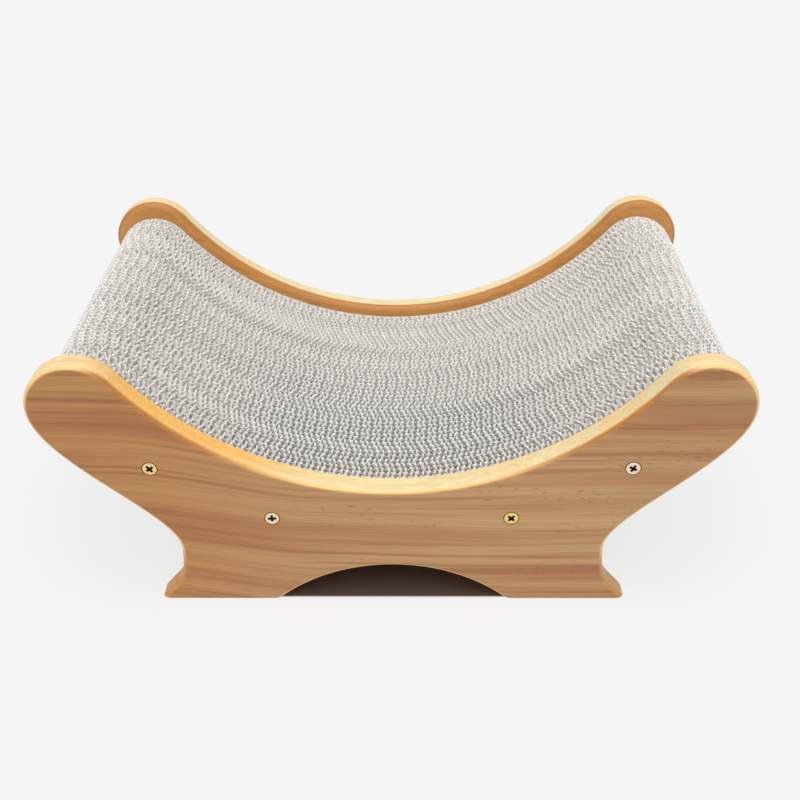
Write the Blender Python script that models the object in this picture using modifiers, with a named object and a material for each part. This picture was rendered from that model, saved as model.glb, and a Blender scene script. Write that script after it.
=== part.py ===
"""Wooden cat scratcher: two pine side boards, four cross rails, eight screws and a cardboard scratch pad.

Metres, +Z up. The origin is at the middle of the footprint, on the surface it stands on.
+X runs along the cradle, and -Y is the front.
"""

import math

import bmesh
import bpy
from mathutils import Matrix, Vector

MM = 0.001

# Side boards
LENGTH = 450 * MM
DEPTH = 276 * MM
HEIGHT = 182 * MM
BOARD_THICKNESS = 18 * MM
EDGE_ROUND = 4 * MM
SEAT_LOW_POINT = 89.5 * MM
HORN_RADIUS = 31.5 * MM
HORN_SWEEP = 39 * MM
WAIST_WIDTH = 279 * MM
WAIST_HEIGHT = 42 * MM
WAIST_SWEEP = 28 * MM
FOOT_WIDTH = 313 * MM
FOOT_SWEEP = 27 * MM
FOOT_FLARE = 16 * MM
FOOT_FLARE_ANGLE = math.radians(51)
TOE_HEIGHT = 3 * MM
ARCH_WIDTH = 149 * MM
ARCH_HEIGHT = 27.5 * MM

# Scratch pad
PAD_INSET = 8 * MM
PAD_THICKNESS = 18 * MM
PAD_NOSE_RADIUS = 28 * MM
PAD_END_INSET = 4.5 * MM
PAD_SIDE_CLEARANCE = 0.5 * MM
PAD_SHEETS = 46
PAD_SHEET_EDGE = 1.6 * MM
PAD_GROOVE_DEPTH = 4 * MM

# Cross rails
RAIL_WIDTH = 40 * MM
RAIL_THICKNESS = 15 * MM
RAIL_CHAMFER = 1 * MM
UPPER_RAIL_INSET = 24 * MM
RAIL_SPACING = 85 * MM

# Screws
SCREW_LENGTH = 50 * MM
SCREW_DIAMETER = 5 * MM
SCREW_TIP_LENGTH = 5 * MM
SCREW_TIP_RADIUS = 0.4 * MM
HEAD_DIAMETER = 9.6 * MM
HEAD_RIM = 0.5 * MM
HEAD_CONE = 2.6 * MM
RECESS_LENGTH = 5.2 * MM
RECESS_WIDTH = 1.4 * MM
RECESS_DEPTH = 2.0 * MM
RECESS_TAPER = 0.45
SCREW_TURNS = {
    "front_upper_left": math.radians(38),
    "front_lower_left": math.radians(2),
    "front_lower_right": math.radians(47),
    "front_upper_right": math.radians(62),
    "rear_upper_left": math.radians(15),
    "rear_lower_left": math.radians(70),
    "rear_lower_right": math.radians(33),
    "rear_upper_right": math.radians(55),
}

# Fits
TOUCH_GAP = 0.3 * MM
HOLE_CLEARANCE = 0.3 * MM

# Smoothness
BOARD_STEPS = 10
PAD_STEPS = 6
EDGE_STEPS = 2
TURNED_STEPS = 20
CUT_MARGIN = 10 * MM
WELD_DISTANCE = 0.01 * MM


def clear_scene():
    for old in list(bpy.data.objects):
        bpy.data.objects.remove(old, do_unlink=True)


def new_collection(name):
    collection = bpy.data.collections.new(name)
    bpy.context.scene.collection.children.link(collection)
    return collection


def make_material(name, colour, roughness, metallic=0.0):
    material = bpy.data.materials.new(name)
    material.use_nodes = True
    shader = material.node_tree.nodes["Principled BSDF"]
    shader.inputs["Base Color"].default_value = (*colour, 1.0)
    shader.inputs["Roughness"].default_value = roughness
    shader.inputs["Metallic"].default_value = metallic
    return material


def evaluated_mesh(source, name):
    """A plain mesh of an object with its modifiers or curve settings applied, seams welded."""
    graph = bpy.context.evaluated_depsgraph_get()
    mesh = bpy.data.meshes.new_from_object(source.evaluated_get(graph))
    mesh.name = name
    shape = bmesh.new()
    shape.from_mesh(mesh)
    bmesh.ops.remove_doubles(shape, verts=shape.verts, dist=WELD_DISTANCE)
    bmesh.ops.recalc_face_normals(shape, faces=shape.faces)
    shape.to_mesh(mesh)
    shape.free()
    mesh.shade_smooth()
    mesh.set_sharp_from_angle(angle=math.radians(30))
    return mesh


def take_mesh(source, name):
    """Replaces a temporary object by the mesh it evaluates to."""
    bpy.context.view_layer.update()
    mesh = evaluated_mesh(source, name)
    bpy.data.objects.remove(source, do_unlink=True)
    return mesh


def place(mesh, name, collection, matrix, parent=None, material=None):
    piece = bpy.data.objects.new(name, mesh)
    collection.objects.link(piece)
    piece.matrix_world = matrix
    if parent is not None:
        piece.parent = parent
    if material is not None:
        mesh.materials.clear()
        mesh.materials.append(material)
    return piece


def make_cutter(mesh, name, matrix):
    cutter = place(mesh, name, CUTTERS, matrix)
    cutter.hide_render = True
    cutter.display_type = "WIRE"
    return cutter


def cut(piece, cutter):
    boolean = piece.modifiers.new("cut_" + cutter.name, "BOOLEAN")
    boolean.operation = "DIFFERENCE"
    boolean.solver = "EXACT"
    boolean.object = cutter


def arc_handle(radius, angle):
    """Length of the Bezier handles that draw an arc."""
    return radius * math.tan(angle / 4) * 4 / 3


def seat_radius():
    """Radius of the cradle arc that runs through its low point and meets the horn arcs smoothly."""
    horn_x = LENGTH / 2 - HORN_RADIUS
    horn_z = HEIGHT - HORN_RADIUS
    rise = horn_z - SEAT_LOW_POINT
    return (horn_x**2 + rise**2 - HORN_RADIUS**2) / (2 * (HEIGHT - SEAT_LOW_POINT))


def seat_centre_height():
    return SEAT_LOW_POINT + seat_radius()


def pad_radius():
    return seat_radius() + PAD_INSET


def pad_nose_centre():
    """Centre of the right nose arc, which meets the pad's hollow side smoothly."""
    nose_x = LENGTH / 2 - PAD_END_INSET - PAD_NOSE_RADIUS
    reach = pad_radius() + PAD_NOSE_RADIUS
    return Vector((nose_x, seat_centre_height() - math.sqrt(reach**2 - nose_x**2)))


def pad_under_turn():
    """Angle from the middle to where the pad's underside ends, level with the nose's centre."""
    drop = seat_centre_height() - pad_nose_centre().y
    return math.acos(drop / (pad_radius() + PAD_THICKNESS))


def rail_radius():
    """Distance of the rails' and screws' axes from the cradle's centre line."""
    return pad_radius() + PAD_THICKNESS + TOUCH_GAP + RAIL_THICKNESS / 2


def upper_rail_angle():
    """The upper rails lie a set way in from the ends of the pad's underside."""
    return pad_under_turn() - (UPPER_RAIL_INSET + RAIL_WIDTH / 2) / rail_radius()


def lower_rail_angle():
    return upper_rail_angle() - RAIL_SPACING / rail_radius()


def inner_depth():
    return DEPTH - 2 * BOARD_THICKNESS


def mirrored(half):
    """A closed outline from its right half, which starts and ends on the middle line."""
    left = []
    for point, before, after in reversed(half[1:-1]):
        flipped = [Vector((-v.x, v.y)) if v is not None else None for v in (point, after, before)]
        left.append(tuple(flipped))
    return half + left


def board_half_outline():
    """Right half of a side board as (point, handle before, handle after); None is a straight side.

    It runs on below the base by twice the edge round, and the base cut takes that off again.
    """
    radius = seat_radius()
    horn_x = LENGTH / 2 - HORN_RADIUS
    horn_z = HEIGHT - HORN_RADIUS
    turn = math.atan2(horn_x, seat_centre_height() - horn_z)
    along = Vector((math.cos(turn), math.sin(turn)))
    seat_low = Vector((0, SEAT_LOW_POINT))
    seat_end = Vector((radius * math.sin(turn), seat_centre_height() - radius * math.cos(turn)))
    horn_top = Vector((horn_x, HEIGHT))
    horn_side = Vector((LENGTH / 2, horn_z))
    waist = Vector((WAIST_WIDTH / 2, WAIST_HEIGHT))
    seat_handle = arc_handle(radius, turn)
    horn_handle = arc_handle(HORN_RADIUS, turn)
    quarter_handle = arc_handle(HORN_RADIUS, math.pi / 2)
    flare = Vector((-math.cos(FOOT_FLARE_ANGLE), math.sin(FOOT_FLARE_ANGLE)))
    tip = Vector((FOOT_WIDTH / 2, 0))
    toe = tip + flare * TOE_HEIGHT / flare.y
    right = Vector((1, 0))
    up = Vector((0, 1))

    below = -2 * EDGE_ROUND
    arch_radius = (ARCH_WIDTH**2 / 4 + ARCH_HEIGHT**2) / (2 * ARCH_HEIGHT)
    arch_turn = math.acos((arch_radius - ARCH_HEIGHT + below) / arch_radius)
    arch_foot = Vector((arch_radius * math.sin(arch_turn), below))
    arch_along = Vector((-math.cos(arch_turn), math.sin(arch_turn)))
    arch_top = Vector((0, ARCH_HEIGHT))
    arch_reach = arc_handle(arch_radius, arch_turn)
    return [
        (seat_low, seat_low - seat_handle * right, seat_low + seat_handle * right),
        (seat_end, seat_end - seat_handle * along, seat_end + horn_handle * along),
        (horn_top, horn_top - horn_handle * right, horn_top + quarter_handle * right),
        (horn_side, horn_side + quarter_handle * up, horn_side - HORN_SWEEP * up),
        (waist, waist + WAIST_SWEEP * up, waist - FOOT_SWEEP * up),
        (toe, toe + FOOT_FLARE * flare, None),
        (tip + flare * below / flare.y, None, None),
        (arch_foot, None, arch_foot + arch_reach * arch_along),
        (arch_top, arch_top + arch_reach * right, arch_top - arch_reach * right),
    ]


def pad_half_outline():
    """Right half of the pad's section: scratching side, rounded nose, flat end and underside."""
    top_radius = pad_radius()
    under_radius = top_radius + PAD_THICKNESS
    centre_z = seat_centre_height()
    nose_x, nose_z = pad_nose_centre()
    turn = math.atan2(nose_x, centre_z - nose_z)
    along = Vector((math.cos(turn), math.sin(turn)))
    right = Vector((1, 0))
    up = Vector((0, 1))
    low = Vector((0, centre_z - top_radius))
    join = Vector((top_radius * math.sin(turn), centre_z - top_radius * math.cos(turn)))
    nose_top = Vector((nose_x, nose_z + PAD_NOSE_RADIUS))
    nose_side = Vector((nose_x + PAD_NOSE_RADIUS, nose_z))
    under_turn = pad_under_turn()
    under_along = Vector((math.cos(under_turn), math.sin(under_turn)))
    under_end = Vector((under_radius * math.sin(under_turn), nose_z))
    under_low = Vector((0, centre_z - under_radius))
    low_handle = arc_handle(top_radius, turn)
    nose_handle = arc_handle(PAD_NOSE_RADIUS, turn)
    quarter_handle = arc_handle(PAD_NOSE_RADIUS, math.pi / 2)
    under_handle = arc_handle(under_radius, under_turn)
    return [
        (low, low - low_handle * right, low + low_handle * right),
        (join, join - low_handle * along, join + nose_handle * along),
        (nose_top, nose_top - nose_handle * right, nose_top + quarter_handle * right),
        (nose_side, nose_side + quarter_handle * up, None),
        (under_end, None, under_end - under_handle * under_along),
        (under_low, under_low + under_handle * right, under_low - under_handle * right),
    ]


def plate_mesh(name, half, thickness, steps, edge_round=0.0):
    """A flat outline given its thickness and rounded edges, standing in the XZ plane, middle at Y = 0."""
    curve = bpy.data.curves.new(name, "CURVE")
    curve.dimensions = "2D"
    curve.fill_mode = "BOTH"
    curve.resolution_u = steps
    curve.render_resolution_u = steps
    curve.extrude = thickness / 2 - edge_round
    curve.bevel_depth = edge_round
    curve.bevel_resolution = EDGE_STEPS
    curve.offset = -edge_round
    outline = mirrored(half)
    spline = curve.splines.new("BEZIER")
    spline.bezier_points.add(len(outline) - 1)
    spline.use_cyclic_u = True
    for bezier, (point, before, after) in zip(spline.bezier_points, outline):
        bezier.co = (*point, 0)
        bezier.handle_left_type = "VECTOR" if before is None else "FREE"
        bezier.handle_right_type = "VECTOR" if after is None else "FREE"
        if before is not None:
            bezier.handle_left = (*before, 0)
        if after is not None:
            bezier.handle_right = (*after, 0)
    drawn = bpy.data.objects.new(name, curve)
    bpy.context.scene.collection.objects.link(drawn)
    mesh = take_mesh(drawn, name)
    mesh.transform(Matrix.Rotation(math.pi / 2, 4, "X"))
    return mesh


def pad_length():
    """The pad's reach from front to rear."""
    return inner_depth() - 2 * PAD_SIDE_CLEARANCE


def scratching_faces(shape):
    """The pad's faces between the tops of its two noses."""
    nose_x = pad_nose_centre().x
    return [
        face for face in shape.faces if face.normal.z > 0 and abs(face.calc_center_median().x) < nose_x
    ]


def into_pad(point):
    """Direction from the scratching side straight into the pad."""
    nose_x, nose_z = pad_nose_centre()
    seat = Vector((0, 0, seat_centre_height()))
    nose = Vector((math.copysign(nose_x, point.x), 0, nose_z))
    flat = Vector((point.x, 0, point.z))
    join_x = nose_x * pad_radius() / (pad_radius() + PAD_NOSE_RADIUS)
    inwards = flat - seat if abs(point.x) < join_x else nose - flat
    return inwards.normalized()


def groove_pad(mesh):
    """Sinks a groove into the cut edge of each cardboard sheet, so that their walls stand up as ribs."""
    shape = bmesh.new()
    shape.from_mesh(mesh)
    pitch = pad_length() / PAD_SHEETS
    half = (pitch - PAD_SHEET_EDGE) / 2
    middles = [(sheet + 0.5) * pitch - pad_length() / 2 for sheet in range(PAD_SHEETS)]
    for middle in middles:
        for side in (middle - half, middle + half):
            faces = scratching_faces(shape)
            edges = dict.fromkeys(edge for face in faces for edge in face.edges)
            corners = dict.fromkeys(corner for face in faces for corner in face.verts)
            whole = [*corners, *edges, *faces]
            bmesh.ops.bisect_plane(
                shape, geom=whole, dist=WELD_DISTANCE, plane_co=(0, side, 0), plane_no=(0, 1, 0)
            )
    floors = [
        face
        for face in scratching_faces(shape)
        if any(abs(face.calc_center_median().y - middle) < half for middle in middles)
    ]
    made = bmesh.ops.extrude_face_region(shape, geom=floors)["geom"]
    bmesh.ops.delete(shape, geom=floors, context="FACES_ONLY")
    for corner in made:
        if isinstance(corner, bmesh.types.BMVert):
            corner.co += PAD_GROOVE_DEPTH * into_pad(corner.co)
    bmesh.ops.recalc_face_normals(shape, faces=shape.faces)
    shape.to_mesh(mesh)
    shape.free()
    return mesh


def trim_base(mesh):
    """Cuts a board off flat at Z = 0, and makes each of its flat sides one face."""
    shape = bmesh.new()
    shape.from_mesh(mesh)
    whole = shape.verts[:] + shape.edges[:] + shape.faces[:]
    bmesh.ops.bisect_plane(
        shape, geom=whole, dist=WELD_DISTANCE, plane_co=(0, 0, 0), plane_no=(0, 0, -1), clear_outer=True
    )
    rim = [edge for edge in shape.edges if edge.is_boundary]
    bmesh.ops.edgenet_fill(shape, edges=rim)
    bmesh.ops.dissolve_limit(
        shape, angle_limit=math.radians(0.1), verts=[], edges=shape.edges, use_dissolve_boundaries=False
    )
    bmesh.ops.recalc_face_normals(shape, faces=shape.faces)
    shape.to_mesh(mesh)
    shape.free()
    mesh.set_sharp_from_angle(angle=math.radians(30))


def turned_mesh(name, profile):
    """A round solid about Z from its outer profile of (radius, height), top to bottom."""
    mesh = bpy.data.meshes.new(name)
    shape = bmesh.new()
    corners = [shape.verts.new((radius, 0, height)) for radius, height in profile]
    for upper, lower in zip(corners, corners[1:]):
        shape.edges.new((upper, lower))
    shape.to_mesh(mesh)
    shape.free()
    turned = bpy.data.objects.new(name, mesh)
    bpy.context.scene.collection.objects.link(turned)
    screw = turned.modifiers.new("turn", "SCREW")
    screw.steps = TURNED_STEPS
    screw.render_steps = TURNED_STEPS
    screw.use_merge_vertices = True
    screw.merge_threshold = WELD_DISTANCE
    return take_mesh(turned, name)


def box_mesh(name, size):
    mesh = bpy.data.meshes.new(name)
    shape = bmesh.new()
    bmesh.ops.create_cube(shape, size=1.0, matrix=Matrix.Diagonal((*size, 1.0)))
    shape.to_mesh(mesh)
    shape.free()
    return mesh


def recess_wing_mesh(name):
    """One of the two crossing slots of a cross recess, narrower towards its floor."""
    mesh = box_mesh(name, (RECESS_LENGTH, RECESS_WIDTH, 2 * RECESS_DEPTH))
    for corner in mesh.vertices:
        if corner.co.z < 0:
            corner.co.x *= RECESS_TAPER
    return mesh


def screw_mesh():
    """A countersunk wood screw along Z: head face at Z = 0, tip down."""
    head = HEAD_DIAMETER / 2
    shank = SCREW_DIAMETER / 2
    neck = -HEAD_RIM - HEAD_CONE
    mesh = turned_mesh(
        "blank_screw",
        [
            (0, 0),
            (head, 0),
            (head, -HEAD_RIM),
            (shank, neck),
            (shank, SCREW_TIP_LENGTH - SCREW_LENGTH),
            (SCREW_TIP_RADIUS, -SCREW_LENGTH),
            (0, -SCREW_LENGTH),
        ],
    )
    blank = place(mesh, "blank_screw", CUTTERS, Matrix.Identity(4))
    wing = recess_wing_mesh("recess_wing")
    wings = [make_cutter(wing, "recess_wing", Matrix.Rotation(turn, 4, "Z")) for turn in (0, math.pi / 2)]
    for cutter in wings:
        cut(blank, cutter)
    mesh = take_mesh(blank, "screw")
    for cutter in wings:
        bpy.data.objects.remove(cutter, do_unlink=True)
    return mesh


def screw_hole_mesh():
    """The countersunk hole that a screw needs in a board, along Z with the board's face at Z = 0."""
    head = HEAD_DIAMETER / 2 + HOLE_CLEARANCE
    shank = SCREW_DIAMETER / 2 + HOLE_CLEARANCE
    return turned_mesh(
        "screw_hole",
        [
            (0, CUT_MARGIN),
            (head, CUT_MARGIN),
            (head, -HEAD_RIM - HOLE_CLEARANCE),
            (shank, -HEAD_RIM - HEAD_CONE - HOLE_CLEARANCE),
            (shank, -BOARD_THICKNESS - CUT_MARGIN),
            (0, -BOARD_THICKNESS - CUT_MARGIN),
        ],
    )


def pilot_hole_mesh():
    """The hole in a rail's end, on the screw's own axis, a little deeper than the screw's tip."""
    radius = SCREW_DIAMETER / 2 + HOLE_CLEARANCE
    floor = -SCREW_LENGTH - HOLE_CLEARANCE
    top = -BOARD_THICKNESS + CUT_MARGIN
    return turned_mesh("pilot_hole", [(0, top), (radius, top), (radius, floor), (0, floor)])


def rail_axis(side, angle):
    """Middle of a rail, on the arc that all rails and screws share; side is -1 on the left, +1 on the right."""
    reach = rail_radius()
    return Vector((side * reach * math.sin(angle), 0, seat_centre_height() - reach * math.cos(angle)))


def screw_matrix(axis, facing, turn):
    """Head face on the outer face of a board; facing is -1 on the front board, +1 on the rear one."""
    seat = Vector((axis.x, facing * DEPTH / 2, axis.z))
    tip_inwards = Matrix.Rotation(-facing * math.pi / 2, 4, "X")
    return Matrix.Translation(seat) @ tip_inwards @ Matrix.Rotation(turn, 4, "Z")


def build_rail(name, side, angle):
    length = inner_depth() - 2 * TOUCH_GAP
    mesh = box_mesh(name, (RAIL_WIDTH, length, RAIL_THICKNESS))
    lean = Matrix.Rotation(-side * angle, 4, "Y")
    rail = place(mesh, name, PARTS, Matrix.Translation(rail_axis(side, angle)) @ lean, FRAME, RAIL_PINE)
    bevel = rail.modifiers.new("chamfer", "BEVEL")
    bevel.width = RAIL_CHAMFER
    bevel.segments = 1
    return rail


clear_scene()
PARTS = new_collection("cat_scratcher")
CUTTERS = new_collection("cat_scratcher_cutters")
FRAME = bpy.data.objects.new("frame", None)
PARTS.objects.link(FRAME)
PINE = make_material("oiled_pine", (0.45, 0.24, 0.10), 0.45)
RAIL_PINE = make_material("rail_pine", (0.55, 0.34, 0.16), 0.6)
CARDBOARD = make_material("corrugated_cardboard", (0.62, 0.59, 0.55), 0.9)
ZINC = make_material("yellow_zinc", (0.80, 0.62, 0.28), 0.3, 1.0)

# The two side boards, trimmed flat at the base
board_mesh = plate_mesh("side_board", board_half_outline(), BOARD_THICKNESS, BOARD_STEPS, EDGE_ROUND)
trim_base(board_mesh)
boards = {}
for place_name, facing in (("front", -1), ("rear", 1)):
    middle = facing * (DEPTH - BOARD_THICKNESS) / 2
    board = place(
        board_mesh.copy(),
        place_name + "_side_board",
        PARTS,
        Matrix.Translation((0, middle, 0)),
        FRAME,
        PINE,
    )
    boards[place_name] = board

# The rails, and the screws that hold each of them from both ends
screw_blank = screw_mesh()
screw_hole = screw_hole_mesh()
pilot_hole = pilot_hole_mesh()
for level, angle in (("upper", upper_rail_angle()), ("lower", lower_rail_angle())):
    for side_name, side in (("left", -1), ("right", 1)):
        spot = level + "_" + side_name
        rail = build_rail(spot + "_rail", side, angle)
        axis = rail_axis(side, angle)
        for place_name, facing in (("front", -1), ("rear", 1)):
            name = place_name + "_" + spot
            matrix = screw_matrix(axis, facing, SCREW_TURNS[name])
            place(screw_blank, name + "_screw", PARTS, matrix, FRAME, ZINC)
            cut(boards[place_name], make_cutter(screw_hole, name + "_hole", matrix))
            cut(rail, make_cutter(pilot_hole, name + "_pilot", matrix))

# The pad drops in between the boards and rests on the rails; it lifts out along Z
pad_mesh = groove_pad(plate_mesh("scratch_pad", pad_half_outline(), pad_length(), PAD_STEPS))
place(pad_mesh, "scratch_pad", PARTS, Matrix.Identity(4), None, CARDBOARD)
bpy.context.view_layer.update()
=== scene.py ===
"""Looks of the wooden cat scratcher: boards, rails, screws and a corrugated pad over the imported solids.

Metres, +Z up. The origin is at the middle of the footprint, +X runs along the cradle and -Y is the front.
"""

import math
import random

import bmesh
import bpy
from mathutils import Matrix, Vector


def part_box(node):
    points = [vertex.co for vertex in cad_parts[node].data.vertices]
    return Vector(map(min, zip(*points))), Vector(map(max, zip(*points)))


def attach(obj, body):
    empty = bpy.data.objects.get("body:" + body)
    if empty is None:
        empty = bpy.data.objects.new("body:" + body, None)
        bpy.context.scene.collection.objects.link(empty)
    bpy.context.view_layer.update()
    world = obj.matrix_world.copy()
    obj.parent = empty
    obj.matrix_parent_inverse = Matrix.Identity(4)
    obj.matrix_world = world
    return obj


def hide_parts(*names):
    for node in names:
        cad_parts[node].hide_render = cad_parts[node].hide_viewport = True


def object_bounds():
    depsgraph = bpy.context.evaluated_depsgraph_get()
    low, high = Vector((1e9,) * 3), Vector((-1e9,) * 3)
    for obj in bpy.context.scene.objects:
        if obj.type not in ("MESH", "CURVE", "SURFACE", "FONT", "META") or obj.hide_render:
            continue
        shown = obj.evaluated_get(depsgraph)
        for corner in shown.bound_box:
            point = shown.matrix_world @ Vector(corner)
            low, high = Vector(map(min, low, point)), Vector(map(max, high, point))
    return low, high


bl_info = {
    "name": "Wooden Cat Scratcher",
    "version": (1, 0, 0),
    "blender": (4, 5, 0),
    "location": "View3D > Sidebar > Scratcher",
    "description": "Builds a wooden cat scratcher with a corrugated cardboard pad",
    "category": "Add Mesh",
}

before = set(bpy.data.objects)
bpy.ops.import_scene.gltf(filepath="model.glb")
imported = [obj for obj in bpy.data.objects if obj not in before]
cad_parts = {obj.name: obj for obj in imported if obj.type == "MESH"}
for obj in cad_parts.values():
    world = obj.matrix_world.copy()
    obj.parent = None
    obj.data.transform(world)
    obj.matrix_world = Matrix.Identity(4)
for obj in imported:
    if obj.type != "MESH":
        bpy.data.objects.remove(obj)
CAD_LOW, CAD_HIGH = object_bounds()
BOARD_LOW, BOARD_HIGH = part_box("front_side_board")
PAD_LOW, PAD_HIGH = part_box("scratch_pad")

MM = 0.001
FRAME_BODY = "frame"
PAD_BODY = "pad"
FACINGS = {"front": -1, "rear": 1}
SPOTS = ("upper_left", "lower_left", "lower_right", "upper_right")
WEAR_ATTRIBUTE = "zinc_wear"
DEPTH_ATTRIBUTE = "paper_depth"
GRAIN_PARTS = ("Band", "Line", "Streak", "Tick")

# How far each screw head was left turned in degrees, and how much of its yellow has worn off
SCREW_HEADS = {
    "front_upper_left": (38, 0.15),
    "front_lower_left": (2, 0.65),
    "front_lower_right": (47, 0.0),
    "front_upper_right": (62, 0.95),
    "rear_upper_left": (15, 0.3),
    "rear_lower_left": (70, 0.1),
    "rear_lower_right": (33, 0.6),
    "rear_upper_right": (55, 0.2),
}

# How finely the meshes are made
ROUND_STEPS = 40
THREAD_STEPS = 16
CURVE_STEPS = 28
EDGE_STEPS = 5
RAIL_EDGE_STEPS = 3
FLOOR_STEPS = 8
LINER_SPACING = 5 * MM
WELD = 0.001 * MM
OUTLINE_WELD = 0.01 * MM
FLAT_ENOUGH = 0.9999
CRISP_ANGLE = math.radians(32)
PAPER_ANGLE = math.radians(50)

# Points of a wave, as phases from the middle of its crossing from liner to liner
WAVE_PHASES = (-0.95, -0.35, 0.35, 0.95)
# How often a sheet leans the other way, how much it leans, and how much of that the slopes take away
LEAN_CHANGE = 0.65
LEAN_RANGE = (0.4, 1.2)
SLOPE_UPRIGHT = 0.6
# How far round the noses the paper reaches, and how suddenly its waves' drop and lean fade there
LAST_TURN = math.radians(86)
FADE_POWER = 8

# Where most of a noise's values lie
NOISE_SPREAD = (0.3, 0.7)
# Width of the camera's sensor in millimetres
SENSOR_WIDTH = 36.0

# Where a tone starts and stops changing along X, with its two values where they aren't 0 and 1
BAND_SINK = (-170 * MM, -50 * MM, 0.0, 18 * MM)
LEFT_AMBER = (-170 * MM, -20 * MM, 1.0, 0.0)
LEFT_TICKS = (-100 * MM, 0.0, 0.2, 1.0)
SLOPE_START = (-190 * MM, -160 * MM)
SLOPE_END = (-110 * MM, -40 * MM, 1.0, 0.0)
# The same to both sides of the middle
LINE_SIDES = (40 * MM, 130 * MM)
SHOULDER_HIGHLIGHT_SIDES = (60 * MM, 120 * MM, 1.0, 0.2)
HORN_SHADE = (120 * MM, 200 * MM, 1.0, 0.96)
PAD_SLOPES = (50 * MM, 160 * MM)
# The same from the cradle's arc outwards
LINE_FADE = (1.5 * MM, 10 * MM, 1.0, 0.0)
# How deep the paper counts as cut edge, and a screw as face and as recess, with how dark the recess's
# painted shade gets
CUT_EDGE = 0.3 * MM
RECESS_EDGE = (0.2 * MM, 0.5 * MM, 0.0, 0.93)


def metres(name, description, default):
    return bpy.props.FloatProperty(
        name=name, description=description, default=default, min=0.0, precision=5, unit="LENGTH"
    )


def degrees(name, description, default):
    return bpy.props.FloatProperty(
        name=name, description=description, default=math.radians(default), subtype="ANGLE"
    )


def tint(name, description, default):
    return bpy.props.FloatVectorProperty(
        name=name, description=description, default=default, size=3, min=0.0, max=1.0, subtype="COLOR"
    )


def share(name, description, default):
    return bpy.props.FloatProperty(name=name, description=description, default=default, min=0.0, max=1.0)


def number(name, description, default, least=0.0):
    return bpy.props.FloatProperty(name=name, description=description, default=default, min=least)


def whole_number(name, description, default, least=0):
    return bpy.props.IntProperty(name=name, description=description, default=default, min=least)


class BoardSizes(bpy.types.PropertyGroup):
    length: metres("Length", "Length over both horns", CAD_HIGH.x - CAD_LOW.x)
    depth: metres("Depth", "Depth over both boards", CAD_HIGH.y - CAD_LOW.y)
    height: metres("Height", "Height of the horns", CAD_HIGH.z - CAD_LOW.z)
    thickness: metres("Thickness", "Thickness of a board", BOARD_HIGH.y - BOARD_LOW.y)
    edge_round: metres("Edge Round", "Radius of the rounded edges", 4 * MM)
    seat_low_point: metres("Seat Low Point", "Height of the rim in the middle", 89.5 * MM)
    horn_radius: metres("Horn Radius", "Radius of the round horns", 31.5 * MM)
    horn_sweep: metres("Horn Sweep", "Reach of the curve below a horn", 39 * MM)
    waist_width: metres("Waist Width", "Width at the narrowest place", 279 * MM)
    waist_height: metres("Waist Height", "Height of the narrowest place", 42 * MM)
    waist_sweep: metres("Waist Sweep", "Reach of the curve above the waist", 28 * MM)
    foot_width: metres("Foot Width", "Width at the floor", 313 * MM)
    foot_sweep: metres("Foot Sweep", "Reach of the curve below the waist", 27 * MM)
    foot_flare: metres("Foot Flare", "Reach of the curve above a toe", 16 * MM)
    foot_angle: degrees("Foot Angle", "Slope of the toes", 51)
    toe_height: metres("Toe Height", "Height of the straight part of a toe", 3 * MM)
    arch_width: metres("Arch Width", "Width of the arch between the feet", 149 * MM)
    arch_height: metres("Arch Height", "Height of the arch between the feet", 27.5 * MM)


class PadSizes(bpy.types.PropertyGroup):
    thickness: metres("Thickness", "Height of the cardboard sheets", 18 * MM)
    inset: metres("Inset", "How far the pad lies below the rims", 8 * MM)
    nose_radius: metres("Nose Radius", "Radius of the pad's rounded ends", 28 * MM)
    layers: whole_number("Layers", "Corrugated sheets from front to back", 46, 2)
    flute_pitch: metres("Flute Pitch", "Length of one wave", 7.78 * MM)
    flute_paper: metres("Flute Paper", "Thickness of the waved paper", 1.4 * MM)
    flute_square: number("Flute Square", "How steeply the waves cross from liner to liner", 3.0, 0.1)
    flute_lean: number("Flute Lean", "How far the waves are pushed over sideways", 0.6)
    liner_paper: metres("Liner Paper", "Thickness of the flat paper", 0.3 * MM)
    glue_drop: metres("Glue Drop", "How much lower the glue lines are cut", 3.4 * MM)
    paper_tilt: share("Paper Tilt", "How far the paper is square to the cradle", 0.8)
    slope_stray: share("Slope Stray", "How far a sheet's waves stray on the slopes", 0.45)
    stagger: number("Stagger", "How far a sheet's waves stray from its neighbour's", 0.04)
    seed: whole_number("Seed", "Changes how the waves are staggered", 4)


class RailSizes(bpy.types.PropertyGroup):
    width: metres("Width", "Width of a rail", 40 * MM)
    thickness: metres("Thickness", "Thickness of a rail", 15 * MM)
    edge_round: metres("Edge Round", "Radius of the rail's edges", 1.2 * MM)
    end_gap: metres("End Gap", "Gap between a rail's end and a board", 0.3 * MM)


class ScrewSizes(bpy.types.PropertyGroup):
    length: metres("Length", "Length of a screw", 50 * MM)
    diameter: metres("Diameter", "Diameter over the thread", 5 * MM)
    core: metres("Core", "Diameter inside the thread", 3.4 * MM)
    tip: metres("Tip", "Length of the pointed end", 5 * MM)
    thread_pitch: metres("Thread Pitch", "Distance between thread turns", 2.2 * MM)
    thread_length: metres("Thread Length", "Length of the threaded part", 34 * MM)
    thread_foot: metres("Thread Foot", "Width of the thread where it meets the core", 0.9 * MM)
    head: metres("Head", "Diameter of the head", 9.2 * MM)
    head_rim: metres("Head Rim", "Height of the head's straight edge", 0.5 * MM)
    head_cone: metres("Head Cone", "Height of the countersunk part", 2.6 * MM)
    recess_length: metres("Recess Length", "Length of an arm of the cross", 8.0 * MM)
    recess_width: metres("Recess Width", "Width of an arm of the cross", 2.1 * MM)
    recess_depth: metres("Recess Depth", "Depth of the cross", 2.4 * MM)
    clearance: metres("Clearance", "Gap round a screw in its hole", 0.7 * MM)


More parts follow.
